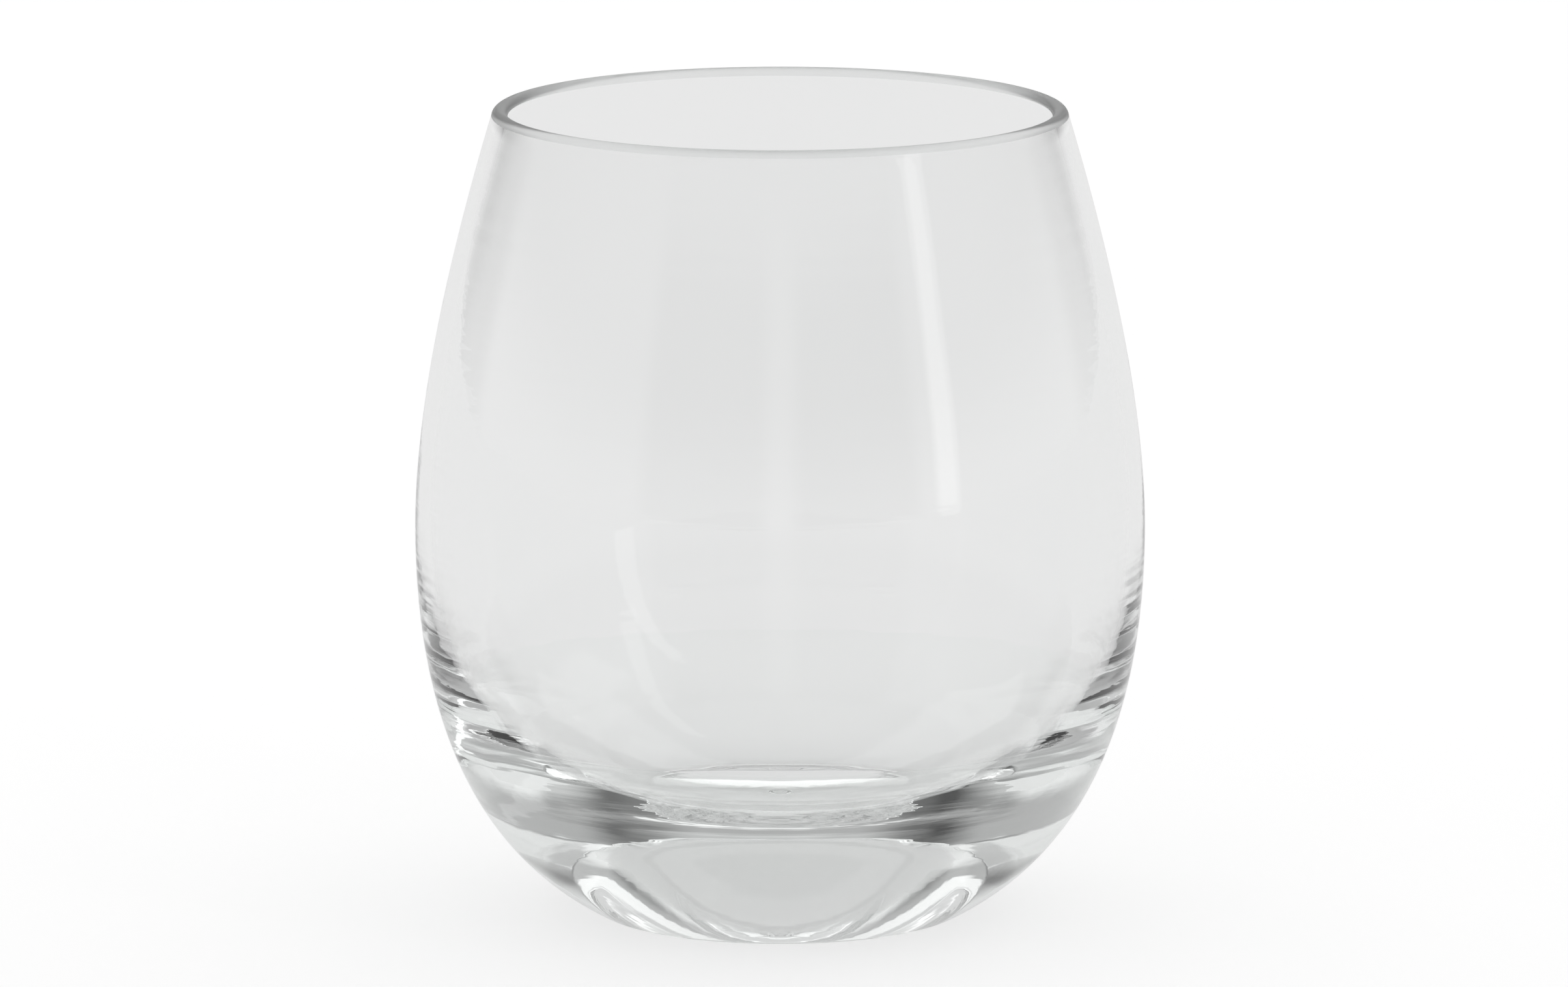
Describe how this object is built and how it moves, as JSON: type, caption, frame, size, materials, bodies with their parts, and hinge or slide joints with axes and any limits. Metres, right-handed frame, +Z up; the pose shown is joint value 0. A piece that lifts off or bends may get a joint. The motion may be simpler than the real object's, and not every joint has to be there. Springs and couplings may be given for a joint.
{
  "type": "water glass",
  "caption": "Stemless clear water glass: a rounded bowl that narrows to a beaded lip, seated in a heavy clear base with a flat ring foot.",
  "frame": {"origin": "centre of the foot, on the plane that the glass stands on", "axes": "+Z up along the axis of the round form, towards the lip; X and Y are alike"},
  "size_m": [0.09, 0.09, 0.0998],
  "materials": {
    "clear_glass": "clear, polished"
  },
  "bodies": {
    "root": {"bowl": "clear_glass", "base": "clear_glass"}
  },
  "joints": []
}
